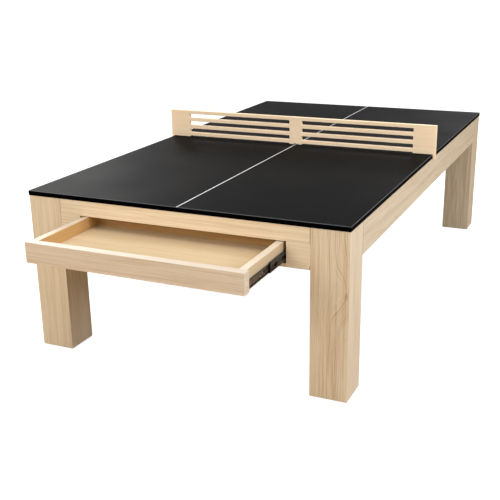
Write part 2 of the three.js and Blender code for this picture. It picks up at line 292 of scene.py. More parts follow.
def late_wood(s, depth, ring):
    """The dark end of each year's growth: a slow rise and a sharp stop, of uneven strength."""
    turns = s.math("DIVIDE", depth, ring)
    phase = s.math("FRACT", turns)
    strength = s.remap(s.random(s.math("FLOOR", turns)), 0, 1, 0.25, 1.0, smooth=False)
    rise = s.remap(phase, 0.15, 0.85)
    fall = s.remap(phase, 0.88, 1.0, 1.0, 0.0)
    return s.math("MULTIPLY", s.math("MULTIPLY", rise, fall), strength)


def wood(name, box, grain, seed, light=ASH_LIGHT, dark=ASH_DARK, ring=0.0055, contrast=1.0,
         pith=(0.16, 0.20), taper=0.012, stave=0.0, knots=(), shade_and_tone=1.0, edge_highlight=0.4, top_highlight=None,
         seam_shade=0.0):
    """Wood sawn from a log. `grain` is the axis that the trunk ran along, `pith` where its heart
    lies from the piece's middle, `taper` how fast the trunk thins, `ring` the spacing of the
    growth rings and `stave` the width of the boards that the piece is glued from. `knots` is a
    list of (across, along, size, heart) places, from the piece's middle, where the rings flow
    round a branch. `edge_highlight` is how pale the arrises are, a painted highlight;
    `top_highlight` is the colour of a painted highlight on the top face and along the upper edge;
    and `seam_shade` darkens the two ends with painted shade, where the board meets its neighbours."""
    s = Paint(name)
    low, high = box
    half = (high - low) / 2
    local = s.vector("SUBTRACT", s.place, tuple((low + high) / 2))
    parts = s.split(local)
    across, deep, along = (parts[axis] for axis in ACROSS_DEEP_ALONG[grain])
    on_face = (across, along)
    shift = random.Random(seed).uniform(2, 60)
    own_tone = 0.5
    if stave:
        board = s.math("FLOOR", s.math("ADD", s.math("DIVIDE", across, stave), 0.5))
        own_tone = s.random(s.math("ADD", board, shift))
        along = s.math("MULTIPLY_ADD", own_tone, 3.0, along)
        across = s.math("MULTIPLY_ADD", own_tone, 0.05, across)

    def stretched(cross, length, detail=2.0, roughness=0.5):
        """Noise drawn out along the grain, with its period across and along in metres."""
        vector = s.join(s.math("MULTIPLY", across, 1 / cross), s.math("MULTIPLY", deep, 1 / cross),
                        s.math("MULTIPLY_ADD", along, 1 / length, shift))
        return s.noise(vector, 1.0, detail, roughness)

    # How far inside the log each point lies, from the pith outwards
    from_pith = s.join(s.math("SUBTRACT", across, pith[0]), s.math("SUBTRACT", deep, pith[1]), 0.0)
    depth = s.node("ShaderNodeVectorMath", (from_pith,), operation="LENGTH").outputs["Value"]
    for wave, size in ((stretched(0.16, 0.9), 0.050), (stretched(0.03, 0.25), 0.0035)):
        depth = s.math("MULTIPLY_ADD", s.math("SUBTRACT", wave, 0.5), size, depth)
    depth = s.math("MULTIPLY_ADD", along, taper, depth)
    depth, heart_shows = flow_round_knots(s, depth, *on_face, knots)

    late = late_wood(s, depth, ring)
    bands = s.remap(s.noise(s.join(s.math("MULTIPLY", depth, 36), shift, 0.0), 1.0, 2), 0.3, 0.7)
    cloud = s.remap(stretched(0.05, 0.35, 3), 0.32, 0.68)
    streak = stretched(0.0062, 0.40, 3, 0.7)
    fibre = stretched(0.0026, 0.14, 3, 0.6)
    pores = s.remap(stretched(0.0012, 0.018, 1), 0.63, 0.72)

    amount = s.math("MULTIPLY_ADD", late, 0.44 * contrast, 0.06)
    for weight, layer, rest in ((0.22, bands, 0.4), (0.14, cloud, 0.4), (1.7, streak, 0.5),
                                (0.9, fibre, 0.5), (0.18, pores, 0.0), (0.25, own_tone, 0.5)):
        offset = s.math("SUBTRACT", layer, rest)
        amount = s.math("MULTIPLY_ADD", offset, weight * contrast, amount)
    colour = s.mix(s.math("MAXIMUM", 0.0, s.math("MINIMUM", amount, 1.0)), light, dark)
    colour = s.mix(heart_shows, colour, KNOT_AND_SEAM_SHADE)
    # Painted highlight: the arrises turn paler than the wood, as if catching the light.
    painted_edge_glint = s.math("MULTIPLY", s.remap(edge_distance(s, local, half), 0.0032, 0.0006), edge_highlight)
    colour = s.mix(painted_edge_glint, colour, tuple(min(1.0, value * 1.15) for value in light))
    if top_highlight:
        # Painted highlight: the top face and the upper edge turn pale, for the light from above.
        upper = s.remap(parts["Z"], half.z - 0.0016, half.z - 0.0006)
        colour = s.mix(s.math("MULTIPLY", upper, 0.8), colour, top_highlight)
    if seam_shade:
        # Painted shade: the board darkens towards its ends, for the shadow that gathers in the
        # joint.
        reach = s.math("SUBTRACT", half["XYZ".index(grain)], s.math("ABSOLUTE", parts[grain]))
        colour = s.mix(s.math("MULTIPLY", s.remap(reach, 0.0030, 0.0008), seam_shade), colour, KNOT_AND_SEAM_SHADE)
    # The whole colour is scaled per piece: partly the board's own lightness, partly painted light
    # and shade for how much light each piece gets.
    colour = s.mix(1.0, colour, (shade_and_tone, shade_and_tone, shade_and_tone, 1), "MULTIPLY")

    s.set(Base_Color=colour, Roughness=s.remap(fibre, 0.3, 0.7, 0.46, 0.60))
    s.set(Specular_IOR_Level=0.3, Coat_Weight=0.08, Coat_Roughness=0.3)
    relief = s.math("SUBTRACT", s.math("MULTIPLY", fibre, 0.5), pores)
    relief = s.math("MULTIPLY_ADD", late, 0.35, relief)
    s.set(Normal=s.bump(relief, 0.22, 0.0004))
    return s.material


def dress(node, material):
    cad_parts[node].material_slots[0].material = material


FRONT_RIGHT_KNOTS = [(0.070, 0.100, 0.055, 0.35)]
SEAM_SHADE = 0.6                                 # how dark the painted shade is at a board's ends, where it meets its neighbour

ASH_PIECES = {
    # node: (grain axis, seed, settings)
    "leg_front_left": ("Z", 1, {"pith": (0.21, 0.05), "stave": 0.07, "contrast": 0.65}),
    "leg_front_right": ("Z", 2, {"pith": (0.13, 0.10), "knots": FRONT_RIGHT_KNOTS,
                                 "taper": 0.02, "shade_and_tone": 0.98, "ring": 0.0036,
                                 "contrast": 0.95}),
    "leg_rear_left": ("Z", 3, {"pith": (-0.16, 0.03), "stave": 0.07}),
    "leg_rear_right": ("Z", 4, {"pith": (0.03, 0.17), "stave": 0.06, "contrast": 0.8,
                                "shade_and_tone": 0.94}),
    "front_top_rail": ("X", 5, {"pith": (0.22, 0.05), "contrast": 0.7, "shade_and_tone": 1.08,
                                "seam_shade": SEAM_SHADE}),
    "front_bottom_rail": ("X", 6, {"pith": (0.20, 0.02), "contrast": 0.7, "shade_and_tone": 1.04,
                                   "seam_shade": SEAM_SHADE}),
    "front_stile_left": ("X", 7, {"pith": (0.10, -0.06), "contrast": 0.6, "shade_and_tone": 1.06}),
    "front_stile_right": ("X", 8, {"pith": (0.12, 0.07), "contrast": 0.6, "shade_and_tone": 1.06}),
    "rear_apron": ("X", 9, {"pith": (-0.10, 0.06), "seam_shade": SEAM_SHADE}),
    "side_apron_left": ("Y", 10, {"pith": (-0.11, 0.05), "seam_shade": SEAM_SHADE}),
    "side_apron_right": ("Y", 11, {"pith": (-0.13, -0.04), "contrast": 0.7, "shade_and_tone": 0.92,
                                   "seam_shade": SEAM_SHADE}),
    "drawer_front": ("X", 12, {"pith": (0.24, 0.05), "top_highlight": FRONT_TOP_HIGHLIGHT, "contrast": 0.8,
                               "light": FRONT_LIGHT, "dark": FRONT_DARK, "shade_and_tone": 0.95}),
    # Painted light: the net panel is made brighter, with paler arrises, for the light that falls
    # on it.
    "net_panel": ("X", 13, {"pith": (0.16, 0.05), "contrast": 0.5, "light": NET_LIGHT,
                            "dark": NET_DARK, "edge_highlight": 0.8, "shade_and_tone": 1.11}),
}

BIRCH = {"light": BIRCH_LIGHT, "dark": BIRCH_DARK, "ring": 0.012, "contrast": 0.7,
         "pith": (0.2, 0.3)}
SHADED_BIRCH = {"light": SHADED_BIRCH_LIGHT, "dark": SHADED_BIRCH_DARK}
BIRCH_PIECES = {
    "drawer_floor": ("X", {}),
    # Painted shade: the drawer's back is darkened for the shade under the top rail, and it takes
    # the shaded copy of the birch.
    "drawer_back": ("X", {**SHADED_BIRCH, "top_highlight": BOX_TOP_HIGHLIGHT, "shade_and_tone": 0.82}),
    # Painted shade: the left side shows its inside face, which lies in warm shade, so it takes the
    # shaded copy of the birch.
    "drawer_side_left": ("Y", {**SHADED_BIRCH, "top_highlight": BOX_TOP_HIGHLIGHT}),
    "drawer_side_right": ("Y", {"top_highlight": BOX_TOP_HIGHLIGHT}),
    "runner_bearer_left": ("Y", {}),
    "runner_bearer_right": ("Y", {}),
    **{f"cross_rail_{index}": ("X", {}) for index in range(1, 5)},
}


def dress_wood():
    for node, (grain, seed, settings) in ASH_PIECES.items():
        dress(node, wood(f"ash_{node}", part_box(node), grain, seed, **settings))
    for seed, (node, (grain, settings)) in enumerate(BIRCH_PIECES.items(), 30):
        dress(node, wood(f"birch_{node}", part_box(node), grain, seed, **{**BIRCH, **settings}))


# ------------------------------------------------------------------ other materials

def black_top():
    """Satin black coating: fine orange peel, faint rubbed patches, a painted highlight along the
    upper edges all round, and sides in a deeper black, a painted shade."""
    s = Paint("satin_black")
    local = s.vector("SUBTRACT", s.place, tuple(centre("tabletop")))
    half = (TOP_HIGH - TOP_LOW) / 2
    peel = s.noise(s.place, 900.0, 2)
    patches = s.noise(s.place, 3.0, 3)
    base = s.mix(s.remap(patches, 0.35, 0.7), srgb(11, 11, 12), srgb(14, 14, 15))
    upper = s.remap(s.split(local)["Z"], half.z - 0.0020, half.z - 0.0008)
    # Painted shade: the sides of the slab are darker than its top.
    base = s.mix(upper, srgb(4, 4, 5), base)
    # Painted highlight: a pale line along the upper edges, as of light catching them.
    arris_highlight = s.math("MULTIPLY", s.remap(edge_distance(s, local, half), 0.0022, 0.0008), upper)
    s.set(Base_Color=s.mix(s.math("MULTIPLY", arris_highlight, 0.6), base, srgb(140, 142, 145)))
    s.set(Roughness=s.remap(patches, 0.3, 0.7, 0.40, 0.45))
    s.set(IOR=1.045, Specular_IOR_Level=0.5)
    s.set(Normal=s.bump(peel, 0.06, 0.0002))
    return s.material


def line_paint():
    s = Paint("line_paint")
    wear = s.remap(s.noise(s.place, 160.0, 4), 0.35, 0.65)
    s.set(Base_Color=s.mix(wear, srgb(222, 222, 220), srgb(240, 240, 238)), Roughness=0.5)
    s.set(Normal=s.bump(s.noise(s.place, 1500.0, 2), 0.1, 0.0001))
    return s.material


def drawing_marks(s):
    """The fine lines that rolling leaves in steel, along the table."""
    return s.noise(s.vector("MULTIPLY", s.place, (900.0, 6.0, 900.0)), 1.0, 3)


def zinc(name, colour, roughness):
    """Rolled and plated steel, lightly stained."""
    s = Paint(name)
    marks = drawing_marks(s)
    spots = s.noise(s.place, 60.0, 4)
    stained = tuple(0.75 * value for value in colour[:3]) + (1,)
    s.set(Base_Color=s.mix(s.remap(spots, 0.35, 0.7), colour, stained), Metallic=1.0)
    s.set(Roughness=s.remap(marks, 0.3, 0.7, roughness - 0.06, roughness + 0.10))
    s.set(Normal=s.bump(marks, 0.10, 0.0002))
    return s.material


PLATING = srgb(60, 72, 88)


def runner_steel(name, half, clean, stained):
    """Plated channel: the web in two shades, the flanges with the blue cast of the plating.
    `half` is the height of the flanges from the middle of the runner."""
    s = Paint(name)
    height = s.math("SUBTRACT", s.split(s.place)["Z"], centre("runner_inner_left").z)
    flange = s.remap(s.math("ABSOLUTE", height), half - 0.0030, half - 0.0014)
    marks = drawing_marks(s)
    spots = s.remap(s.noise(s.place, 60.0, 4), 0.35, 0.7)
    s.set(Base_Color=s.mix(flange, s.mix(spots, clean, stained), PLATING), Metallic=1.0)
    s.set(Roughness=s.remap(marks, 0.3, 0.7, 0.28, 0.44))
    s.set(Normal=s.bump(marks, 0.10, 0.0002))
    return s.material


def powder_coat():
    s = Paint("black_powder_coat")
    grit = s.noise(s.place, 1400.0, 3)
    s.set(Base_Color=srgb(38, 38, 40), Roughness=0.55, Normal=s.bump(grit, 0.25, 0.0003))
    return s.material


def plastic():
    s = Paint("black_plastic")
    grain = s.noise(s.place, 2200.0, 2)
    s.set(Base_Color=srgb(22, 22, 24), Roughness=s.remap(grain, 0.3, 0.7, 0.32, 0.42))
    s.set(Normal=s.bump(grain, 0.08, 0.0002))
    return s.material


def felt():
    s = Paint("wool_felt")
    fuzz = s.noise(s.place, 1100.0, 5, 0.7)
    s.set(Base_Color=s.mix(fuzz, srgb(40, 40, 40), srgb(84, 82, 79)), Roughness=0.95)
    s.set(Sheen_Weight=0.3, Normal=s.bump(fuzz, 0.6, 0.0008))
    return s.material


# ------------------------------------------------------------------ mesh helpers

SHARP = math.radians(30)


def new_piece(name, bm, material, body):
    """Turns a bmesh into a piece that rides on a body, smooth but for its sharp edges."""
    mesh = bpy.data.meshes.new(name)
    bmesh.ops.recalc_face_normals(bm, faces=bm.faces)
    for face in bm.faces:
        face.smooth = True
    for edge in bm.edges:
        edge.smooth = edge.calc_face_angle(math.pi) < SHARP
    bm.to_mesh(mesh)
    bm.free()
    mesh.materials.append(material)
    piece = bpy.data.objects.new(name, mesh)
    bpy.context.scene.collection.objects.link(piece)
    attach(piece, body)
    return piece


def sweep(bm, sections):
    """Joins a row of closed rings of points, capped at both ends."""
    rings = [[bm.verts.new(point) for point in section] for section in sections]
    count = len(rings[0])
    for near, far in zip(rings, rings[1:]):
        for index in range(count):
            after = (index + 1) % count
            bm.faces.new((near[index], near[after], far[after], far[index]))
    bm.faces.new(rings[0])
    bm.faces.new(rings[-1])


def lathe(bm, profile, segments=32):
    """Turns (radius, height) points round Z. The first and the last lie on the axis."""
    low = bm.verts.new((0, 0, profile[0][1]))
    high = bm.verts.new((0, 0, profile[-1][1]))
    rings = []
    for radius, height in profile[1:-1]:
        turns = (math.tau * step / segments for step in range(segments))
        rings.append([bm.verts.new((radius * math.cos(turn), radius * math.sin(turn), height))
                      for turn in turns])
    for index in range(segments):
        after = (index + 1) % segments
        bm.faces.new((low, rings[0][after], rings[0][index]))
        bm.faces.new((high, rings[-1][index], rings[-1][after]))
        for near, far in zip(rings, rings[1:]):
            bm.faces.new((near[index], near[after], far[after], far[index]))


def prism(bm, outline, low, high):
    """An outline of (x, y) points pulled up from one height to another."""
    sweep(bm, [[(x, y, height) for x, y in outline] for height in (low, high)])


def carve(target, tool):
    """Cuts one closed bmesh out of another, and gives the result as a mesh."""
    objects = []
    for part in (target, tool):
        bmesh.ops.recalc_face_normals(part, faces=part.faces)
        mesh = bpy.data.meshes.new("carved")
        part.to_mesh(mesh)
        part.free()
        objects.append(bpy.data.objects.new("carved", mesh))
        bpy.context.scene.collection.objects.link(objects[-1])
    modifier = objects[0].modifiers.new("cut", "BOOLEAN")
    modifier.object = objects[1]
    modifier.solver = "EXACT"
    graph = bpy.context.evaluated_depsgraph_get()
    result = bpy.data.meshes.new_from_object(objects[0].evaluated_get(graph))
    for part in objects:
        bpy.data.objects.remove(part)
    return result


def stamp(bm, mesh, point, direction):
    """Adds a copy of a mesh with its +Z turned to a direction."""
    count = len(bm.verts)
    bm.from_mesh(mesh)
    turn = Vector(direction).to_track_quat("Z", "Y").to_matrix().to_4x4()
    matrix = Matrix.Translation(point) @ turn @ Matrix.Scale(MM, 4)
    bmesh.ops.transform(bm, matrix=matrix, verts=list(bm.verts)[count:])


# ------------------------------------------------------------------ sheet metal, in millimetres

def rounded(u, v, width, height, radius, steps=5):
    """The outline of a rectangle with round corners, around (u, v)."""
    points = []
    for turn, (a, b) in enumerate(((1, 1), (-1, 1), (-1, -1), (1, -1))):
        for step in range(steps + 1):
            angle = math.pi / 2 * (turn + step / steps)
            point = Vector((u + a * (width / 2 - radius) + radius * math.cos(angle),
                            v + b * (height / 2 - radius) + radius * math.sin(angle)))
            if not points or (point - points[-1]).length > 1e-3:
                points.append(point)
    if (points[0] - points[-1]).length < 1e-3:
        points.pop()
    return points


def left_of(direction):
    return Vector((-direction.y, direction.x))


def bend_path(corners, radius, steps=4):
    """The middle line of a sheet that is bent at its corners, as (distance, point, normal)."""
    corners = [Vector(corner) for corner in corners]
    directions = [(after - before).normalized() for before, after in zip(corners, corners[1:])]
    line = [(corners[0], left_of(directions[0]))]
    for corner, before, after in zip(corners[1:], directions, directions[1:]):
        angle = math.atan2(before.x * after.y - before.y * after.x, before.dot(after))
        hand = math.copysign(1, angle)
        reach = radius * math.tan(abs(angle) / 2)
        middle = corner - before * reach + left_of(before) * radius * hand
        for step in range(steps + 1):
            normal = Matrix.Rotation(angle * step / steps, 2) @ left_of(before)
            line.append((middle - normal * radius * hand, normal))
    line.append((corners[-1], left_of(directions[-1])))
    distance = 0.0
    stations = []
    for index, (point, normal) in enumerate(line):
        if index:
            distance += (point - line[index - 1][0]).length
        stations.append((distance, point, normal))
    return stations


def folded(stations, distance, offset):
    """Where a point of the flat blank comes to lie once the blank is bent."""
    for (start, p0, n0), (end, p1, n1) in zip(stations, stations[1:]):
        if distance <= end + 1e-4:
            break
    part = (distance - start) / (end - start)
    return p0.lerp(p1, part) + n0.lerp(n1, part) * offset


def bent_sheet(bm, corners, bend, thick, length, holes, place, corner=1.0):
    """Cuts a blank with round corners and holes, and bends it along a path of (a, b) corners.
    A hole is (distance from the middle of the path, place along the length, width, length), and
    `place` turns (a, b, along) into a point."""
    stations = bend_path(corners, bend)
    total = stations[-1][0]
    outlines = [rounded(total / 2, length / 2, total, length, corner)]
    for across, along, width, height in holes:
        outlines.append(rounded(total / 2 + across, along, width, height, min(width, height) / 2))
    blank = bmesh.new()
    for outline in outlines:
        verts = [blank.verts.new((u, v, 0)) for u, v in outline]
        for a, b in zip(verts, verts[1:] + verts[:1]):
            blank.edges.new((a, b))
    bmesh.ops.triangle_fill(blank, use_beauty=True, edges=blank.edges[:])
    for distance, _, _ in stations[1:-1]:
        everything = blank.verts[:] + blank.edges[:] + blank.faces[:]
        bmesh.ops.bisect_plane(blank, geom=everything, dist=1e-3,
                               plane_co=(distance, 0, 0), plane_no=(1, 0, 0))
    layers = []
    for side in (-0.5, 0.5):
        layer = {}
        for vert in blank.verts:
            a, b = folded(stations, vert.co.x, side * thick)
            layer[vert] = bm.verts.new(place(a, b, vert.co.y))
        layers.append(layer)
    low, high = layers
    for face in blank.faces:
        bm.faces.new([high[vert] for vert in face.verts])
        bm.faces.new([low[vert] for vert in reversed(face.verts)])
    for edge in blank.edges:
        if edge.is_boundary:
            a, b = edge.verts
            bm.faces.new((low[a], low[b], high[b], high[a]))
    blank.free()


# ------------------------------------------------------------------ screws and bolts

SCREW_HOLE = 4.4


def cross_recess(size, top, deep):
    """A tapered cross, the tool that cuts a screwdriver recess."""
    tool = bmesh.new()
    for turn in (0, math.pi / 2):
        ring = []
        for height, reach in ((top + 1, size), (top - deep, size * 0.45)):
            corners = []
            for x, y in ((-1, -1), (1, -1), (1, 1), (-1, 1)):
                a, b = x * reach, y * size * 0.22
                corners.append((a * math.cos(turn) - b * math.sin(turn),
                                a * math.sin(turn) + b * math.cos(turn), height))
            ring.append(corners)
        sweep(tool, ring)
    return tool


def pan_screw():
    """Pan-head wood screw: its head stands on Z = 0."""
    head = bmesh.new()
    lathe(head, [(0, -4), (1.6, -4), (1.8, 0), (3.4, 0), (3.5, 0.5), (3.3, 1.2), (2.7, 1.9),
                 (1.7, 2.3), (0.8, 2.4), (0, 2.4)])
    return carve(head, cross_recess(1.9, 2.4, 1.5))


def flat_screw():
    """Countersunk screw: its head is level with Z = 0, but for a slight dome."""
    head = bmesh.new()
    lathe(head, [(0, -4), (1.6, -4), (1.7, -2.2), (3.4, -0.4), (3.5, -0.1), (3.2, 0.15),
                 (1.6, 0.3), (0, 0.35)])
    return carve(head, cross_recess(1.8, 0.3, 1.3))


def leg_bolt():
    """Button-head bolt with a hexagon socket and a washer. Z = 0 is the seat of the washer."""
    bolt = bmesh.new()
    lathe(bolt, [(0, -58.6), (3.0, -58.6), (4.0, -57.6), (4.0, -0.1), (8.6, -0.1), (9.0, 0.3),
                 (9.0, 1.3), (8.6, 1.6), (6.4, 1.6), (6.5, 2.0), (6.2, 3.2), (5.2, 4.3),
                 (4.0, 4.9), (3.4, 5.0), (0, 5.0)], 48)
    socket = bmesh.new()
    turns = [math.tau * step / 6 for step in range(6)]
    prism(socket, [(2.9 * math.cos(turn), 2.9 * math.sin(turn)) for turn in turns], 2.2, 6)
    return carve(bolt, socket)


# ------------------------------------------------------------------ fine pieces

LINE_WIDTH = 0.0045
LINE_THICK = 0.00015
LINE_INSET = 0.0016
LINE_GAP = 0.00002


def make_centre_line():
    """The painted line along the middle of the top, with feathered edges."""
    profile = [(-0.5, 0), (-0.5, 0.5), (-0.42, 1), (0.42, 1), (0.5, 0.5), (0.5, 0)]
    low = SURFACE + LINE_GAP
    length = TOP_HIGH.y - TOP_LOW.y - 2 * LINE_INSET
    sections = []
    steps = 24
    for step in range(steps + 1):
        y = TOP_LOW.y + LINE_INSET + length * step / steps
        sections.append([(a * LINE_WIDTH, y, low + b * LINE_THICK) for a, b in profile])
    bm = bmesh.new()
    sweep(bm, sections)
    new_piece("centre_line", bm, line_paint(), "table")


# The brackets' sizes are in millimetres
BRACKET_THICK = 3.0
BRACKET_BEND = 4.5
BRACKET_CORNER = 7.0
BOLT_HOLE = 10.0
BOLT_HEAD = 5.0
NEAR_SCREW, FAR_SCREW = 15, 36             # how far the screws lie from the bracket's bend


def make_corner_joint(name, sign_x, sign_y, apron, coat, steel, screw, bolt):
    """An angle bracket inside a corner, with its bolt and its screws."""
    low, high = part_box(f"bracket_{name}")
    corner = Vector((high.x if sign_x > 0 else low.x, high.y if sign_y > 0 else low.y, low.z))
    reach = (high.x - low.x) / MM
    height = (high.z - low.z) / MM

    def place(p, q, along):
        return corner + Vector((-sign_x * p, -sign_y * q, along)) * MM

    # The bolt goes through the flange that lies on the leg. From the bend, +1 is the flange
    # along Y and -1 the flange along X.
    leg_flange = 1 if apron == "end" else -1
    middle = BRACKET_THICK / 2
    path = [(reach, middle), (middle, middle), (middle, reach)]
    slack = middle + BRACKET_BEND * (1 - math.pi / 4)
    bolt_at = centre(f"leg_bolt_{name}")
    bolt_reach = abs(bolt_at.y - corner.y if apron == "end" else bolt_at.x - corner.x)
    holes = [(leg_flange * (bolt_reach / MM - slack), height / 2, BOLT_HOLE, BOLT_HOLE)]
    # Each screw: its flange, and its places from the bend and up the bracket
    screws = [(leg_flange, FAR_SCREW, 12), (leg_flange, FAR_SCREW, height - 12),
              (-leg_flange, NEAR_SCREW, 14), (-leg_flange, FAR_SCREW, height / 2),
              (-leg_flange, NEAR_SCREW, height - 14)]
    holes += [(flange * (far - slack), up, SCREW_HOLE, SCREW_HOLE) for flange, far, up in screws]
    bm = bmesh.new()
    bent_sheet(bm, path, BRACKET_BEND, BRACKET_THICK, height, holes, place, BRACKET_CORNER)
    piece = new_piece(f"angle_bracket_{name}", bm, coat, "table")
    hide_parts(f"bracket_{name}")

    bm = bmesh.new()
    inward = {1: (-sign_x, 0, 0), -1: (0, -sign_y, 0)}
    for flange, far, up in screws:
        p, q = (BRACKET_THICK, far) if flange > 0 else (far, BRACKET_THICK)
        stamp(bm, screw, place(p, q, up), inward[flange])
    new_piece(f"bracket_screws_{name}", bm, steel, "table")

    bm = bmesh.new()
    direction = Vector(inward[leg_flange])
    bolt_low, bolt_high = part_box(f"leg_bolt_{name}")
    half = max((bolt_high - bolt_low) / 2)
    stamp(bm, bolt, bolt_at + direction * (half - BOLT_HEAD * MM), direction)
    piece = new_piece(f"corner_bolt_{name}", bm, steel, "table")
    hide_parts(f"leg_bolt_{name}")


def make_corner_joints(coat, steel, screw, bolt):
    """Two brackets in each of the four corners: one for the end apron and one for the side."""
    for end, sign_y in ENDS.items():
        for side, sign_x in SIDES.items():
            for apron in ("end", "side"):
                make_corner_joint(f"{end}_{side}_{apron}", sign_x, sign_y, apron, coat, steel,
                                  screw, bolt)


# The clips' sizes are in millimetres
CLIP_REACH = 22.0
CLIP_THICK = 1.5
CLIP_BEND = 2.0
CLIP_WIDTH = 18.0
CLIP_HOLE = 4.2
CLIP_CORNER = 3.0
CLIP_SCREW = 13                            # from the clip's bend
CLIP_GAP = 0.05                            # below the top


def make_top_clips(steel, screw):
    """Small angles that hold the top down on the cross rails and on the side aprons."""
    seats = []
    for index in range(1, 5):
        low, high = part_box(f"cross_rail_{index}")
        seats += [(Vector((high.x * part, low.y, TOP_LOW.z)), Vector((0, -1, 0)))
                  for part in (-0.78, -0.27, 0.27, 0.78)]
    for side, sign in SIDES.items():
        low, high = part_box(f"side_apron_{side}")
        face = low.x if sign > 0 else high.x
        seats += [(Vector((face, MID_Y + part * high.y, TOP_LOW.z)), Vector((-sign, 0, 0)))
                  for part in (-0.78, -0.39, 0.0, 0.39, 0.78)]
    clips = bmesh.new()
    screws = bmesh.new()
    middle = CLIP_THICK / 2
    path = [(CLIP_REACH, middle), (middle, middle), (middle, CLIP_REACH)]
    slack = middle + CLIP_BEND * (1 - math.pi / 4)
    holes = [(flange * (CLIP_SCREW - slack), CLIP_WIDTH / 2, CLIP_HOLE, CLIP_HOLE)
             for flange in (-1, 1)]
    for seat, out in seats:
        sideways = out.cross(Vector((0, 0, 1)))

        def place(p, q, along):
            down = Vector((0, 0, q + CLIP_GAP))
            return seat + (out * p - down + sideways * (along - CLIP_WIDTH / 2)) * MM

        bent_sheet(clips, path, CLIP_BEND, CLIP_THICK, CLIP_WIDTH, holes, place, CLIP_CORNER)
        stamp(screws, screw, place(CLIP_SCREW, CLIP_THICK, CLIP_WIDTH / 2), (0, 0, -1))
        stamp(screws, screw, place(CLIP_THICK, CLIP_SCREW, CLIP_WIDTH / 2), out)
    new_piece("top_clips", clips, steel, "table")
    new_piece("top_clip_screws", screws, steel, "table")


# ------------------------------------------------------------------ drawer runners, in millimetres

# Lit and shaded copies of the web's colour: the drawer member, in front, is lighter; the middle
# and outer members, under the top, carry painted shade.
LIT_WEB = (srgb(140, 132, 126), srgb(118, 110, 104))
SHADED_WEB = (srgb(84, 86, 90), srgb(66, 68, 72))
# Each runner sheet, in depth from the bearer towards the drawer: the middle of its web, how far
# its flanges reach, and the lip that turns in at the end of a flange
RUNNER_SHEETS = {
    "outer": {"thick": 1.4, "bend": 1.1, "web": 0.7, "reach": 8.3, "lip": 2.2,
              "colours": SHADED_WEB},
    "middle": {"thick": 1.2, "bend": 1.0, "web": 3.8, "reach": 9.8, "lip": 2.2,
               "colours": SHADED_WEB},
    "inner": {"thick": 1.2, "bend": 1.0, "web": 11.8, "reach": 6.2, "lip": 0.0,
              "colours": LIT_WEB},
}
RUNNER_HOLES = {
    # across from the middle, along from the front end, width, length
    "outer": [(0, 40, SCREW_HOLE, SCREW_HOLE), (0, 75, 8, 26), (0, 130, 6, 6), (0, 180, 8, 40),
              (0, 240, SCREW_HOLE, SCREW_HOLE), (0, 300, 8, 40), (0, 360, 6, 6),
              (0, 410, SCREW_HOLE, SCREW_HOLE)],
    "middle": [(0, 20, 7, 7), (0, 56, 15, 42), (0, 92, 7, 7), (0, 134, 15, 50), (0, 205, 13, 60),
               (0, 256, 7, 7), (0, 310, 13, 44), (0, 372, 11, 40), (0, 424, 7, 7)],
    "inner": [(0, 52, SCREW_HOLE, SCREW_HOLE), (7, 118, 5, 9), (-7, 118, 5, 9),
              (0, 136, SCREW_HOLE, SCREW_HOLE), (0, 250, 9, 36),
              (0, 300, SCREW_HOLE, SCREW_HOLE), (0, 345, 9, 36),
              (0, 410, SCREW_HOLE, SCREW_HOLE)],
}
CAGES = {
    # ball radius and depth, and the depths of the cage's web and of its flanges' ends
    "outer": {"radius": 1.5, "depth": 5.0, "web": 2.3, "reach": 6.4},
    "inner": {"radius": 1.3, "depth": 7.2, "web": 5.3, "reach": 8.6},
}
CAGE_SHEET = 0.6
CAGE_BEND = 0.8
BALLS = 12
BALL_GRIP = 0.35                           # how much smaller a cage's holes are than its balls
SHEET_CORNER = 0.9
STOPS = {
    # place along the runner, (thickness, height, length)
    "outer": [(5.5, (1.6, 30.0, 8.0)), (442, (1.6, 30.0, 10.0))],
    "middle": [(5.5, (1.5, 26.0, 8.0)), (443, (1.5, 26.0, 8.0))],
}
STOP_CORNER = 2.0
# The release lever from its pivot to its tip: place along, height of its middle, half height
LEVER_PATH = [(150, 0.0, 4.2), (158, 0.2, 3.2), (170, 1.6, 2.6), (184, 4.2, 2.4), (198, 6.8, 2.4),
              (212, 8.8, 2.4), (224, 9.8, 3.2), (232, 9.9, 3.0)]
# Its section: depth, and height as a part of the half height
LEVER_SECTION = [(11.1, -1), (9.6, -1), (9.2, -0.6), (9.2, 0.6), (9.6, 1), (11.1, 1)]


def runner_place(node, sign):
    """Turns (depth, height, along) of a runner piece into a point on one side of the table."""
    low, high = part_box(f"runner_outer_{node.rsplit('_', 1)[1]}")
    edge = high.x if sign > 0 else low.x
    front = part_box(node)[0].y
    middle = centre(node).z

    def place(depth, height, along):
        return Vector((edge - sign * depth * MM, front + along * MM, middle + height * MM))
    return place


def pad(bm, place, depth, along, size, corner):
    """A moulded pad with round corners that lies on the middle of a runner's web."""
    thick, tall, long = size
    rings = []
    for level, inset in ((0, 0), (thick * 0.75, 0), (thick, 0.35)):
        outline = rounded(along, 0, long - 2 * inset, tall - 2 * inset, corner - inset)
        rings.append([place(depth + level, up, far) for far, up in outline])
    sweep(bm, rings)


def web_face(part, hand):
    """The depth of one face of a runner sheet's web: +1 looks at the drawer, -1 at the bearer."""
    sheet = RUNNER_SHEETS[part]
    return sheet["web"] + hand * sheet["thick"] / 2


